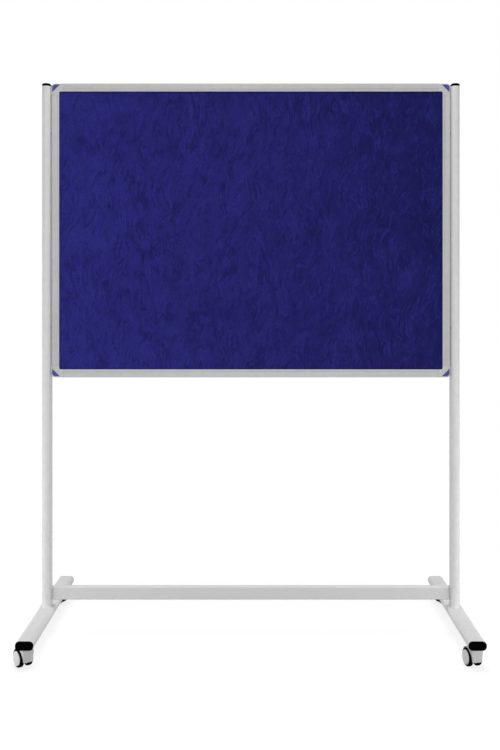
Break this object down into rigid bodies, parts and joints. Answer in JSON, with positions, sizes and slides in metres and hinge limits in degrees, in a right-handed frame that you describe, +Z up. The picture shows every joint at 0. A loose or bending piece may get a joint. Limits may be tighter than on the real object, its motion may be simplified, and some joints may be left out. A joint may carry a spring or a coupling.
{
  "type": "mobile pinboard",
  "caption": "Mobile pinboard: a felt-covered board in an aluminium frame, held between flat-oval steel posts on castor feet and braced by a lower rail.",
  "frame": {"origin": "on the floor under the middle of the board", "axes": "+X to the right seen from the front, +Y to the back, +Z up"},
  "size_m": [1.323, 0.615, 1.6535],
  "materials": {
    "powder_coat": "satin light grey powder coat",
    "black_plastic": "satin black moulded plastic",
    "anodised": "silver anodised extrusion",
    "corner_plastic": "light grey moulded plastic",
    "corner_blue": "blue moulded plastic",
    "felt_blue": "dark blue felt with a brushed nap",
    "softboard": "soft fibreboard",
    "zinc_steel": "zinc plated",
    "castor_grey": "light grey moulded plastic",
    "disc_grey": "light grey moulded plastic",
    "tyre_black": "black tread"
  },
  "bodies": {
    "stand": {"left_post": "powder_coat", "left_foot": "powder_coat", "right_post": "powder_coat", "right_foot": "powder_coat", "post_welds": "powder_coat", "lower_rail": "powder_coat", "left_post_cap": "black_plastic", "left_foot_front_cap": "black_plastic", "left_foot_rear_cap": "black_plastic", "right_post_cap": "black_plastic", "right_foot_front_cap": "black_plastic", "right_foot_rear_cap": "black_plastic", "board_spacers": "black_plastic", "frame_left": "anodised", "frame_right": "anodised", "frame_bottom": "anodised", "frame_top": "anodised", "corner_top_left": "corner_plastic", "corner_top_right": "corner_plastic", "corner_bottom_right": "corner_plastic", "corner_bottom_left": "corner_plastic", "corner_cap_top_left": "corner_blue", "corner_cap_top_right": "corner_blue", "corner_cap_bottom_right": "corner_blue", "corner_cap_bottom_left": "corner_blue", "front_felt": "felt_blue", "rear_felt": "felt_blue", "board_core": "softboard", "rail_bolts": "zinc_steel", "board_bolts": "zinc_steel", "board_nuts": "zinc_steel", "castor_stems": "zinc_steel", "castor_nuts": "zinc_steel", "rail_end_plugs": "castor_grey"},
    "front_left_castor": {"front_left_castor_hood": "castor_grey", "front_left_castor_axle": "zinc_steel"},
    "front_left_wheel_left": {"front_left_left_wheel": "disc_grey", "front_left_left_tyre": "tyre_black"},
    "front_left_wheel_right": {"front_left_right_wheel": "disc_grey", "front_left_right_tyre": "tyre_black"},
    "front_right_castor": {"front_right_castor_hood": "castor_grey", "front_right_castor_axle": "zinc_steel"},
    "front_right_wheel_left": {"front_right_left_wheel": "disc_grey", "front_right_left_tyre": "tyre_black"},
    "front_right_wheel_right": {"front_right_right_wheel": "disc_grey", "front_right_right_tyre": "tyre_black"},
    "rear_left_castor": {"rear_left_castor_hood": "castor_grey", "rear_left_castor_axle": "zinc_steel"},
    "rear_left_wheel_left": {"rear_left_left_wheel": "disc_grey", "rear_left_left_tyre": "tyre_black"},
    "rear_left_wheel_right": {"rear_left_right_wheel": "disc_grey", "rear_left_right_tyre": "tyre_black"},
    "rear_right_castor": {"rear_right_castor_hood": "castor_grey", "rear_right_castor_axle": "zinc_steel"},
    "rear_right_wheel_left": {"rear_right_left_wheel": "disc_grey", "rear_right_left_tyre": "tyre_black"},
    "rear_right_wheel_right": {"rear_right_right_wheel": "disc_grey", "rear_right_right_tyre": "tyre_black"}
  },
  "joints": [
    {"name": "front_left_swivel", "type": "hinge", "parent": "stand", "child": "front_left_castor", "pos_m": [-0.6135, -0.275, 0], "axis": [0, 0, 1], "continuous": true},
    {"name": "front_left_left_roll", "type": "hinge", "parent": "front_left_castor", "child": "front_left_wheel_left", "pos_m": [-0.62636, -0.25968, 0.025], "axis": [0.766, 0.6428, 0], "continuous": true},
    {"name": "front_left_right_roll", "type": "hinge", "parent": "front_left_castor", "child": "front_left_wheel_right", "pos_m": [-0.62636, -0.25968, 0.025], "axis": [0.766, 0.6428, 0], "continuous": true},
    {"name": "front_right_swivel", "type": "hinge", "parent": "stand", "child": "front_right_castor", "pos_m": [0.6135, -0.275, 0], "axis": [0, 0, 1], "continuous": true},
    {"name": "front_right_left_roll", "type": "hinge", "parent": "front_right_castor", "child": "front_right_wheel_left", "pos_m": [0.60866, -0.25559, 0.025], "axis": [0.9703, 0.2419, 0], "continuous": true},
    {"name": "front_right_right_roll", "type": "hinge", "parent": "front_right_castor", "child": "front_right_wheel_right", "pos_m": [0.60866, -0.25559, 0.025], "axis": [0.9703, 0.2419, 0], "continuous": true},
    {"name": "rear_left_swivel", "type": "hinge", "parent": "stand", "child": "rear_left_castor", "pos_m": [-0.6135, 0.275, 0], "axis": [0, 0, 1], "continuous": true},
    {"name": "rear_left_left_roll", "type": "hinge", "parent": "rear_left_castor", "child": "rear_left_wheel_left", "pos_m": [-0.63204, 0.28249, 0.025], "axis": [0.3746, 0.9272, 0], "continuous": true},
    {"name": "rear_left_right_roll", "type": "hinge", "parent": "rear_left_castor", "child": "rear_left_wheel_right", "pos_m": [-0.63204, 0.28249, 0.025], "axis": [0.3746, 0.9272, 0], "continuous": true},
    {"name": "rear_right_swivel", "type": "hinge", "parent": "stand", "child": "rear_right_castor", "pos_m": [0.6135, 0.275, 0], "axis": [0, 0, 1], "continuous": true},
    {"name": "rear_right_left_roll", "type": "hinge", "parent": "rear_right_castor", "child": "rear_right_wheel_left", "pos_m": [0.63204, 0.28249, 0.025], "axis": [0.3746, -0.9272, 0], "continuous": true},
    {"name": "rear_right_right_roll", "type": "hinge", "parent": "rear_right_castor", "child": "rear_right_wheel_right", "pos_m": [0.63204, 0.28249, 0.025], "axis": [0.3746, -0.9272, 0], "continuous": true}
  ]
}
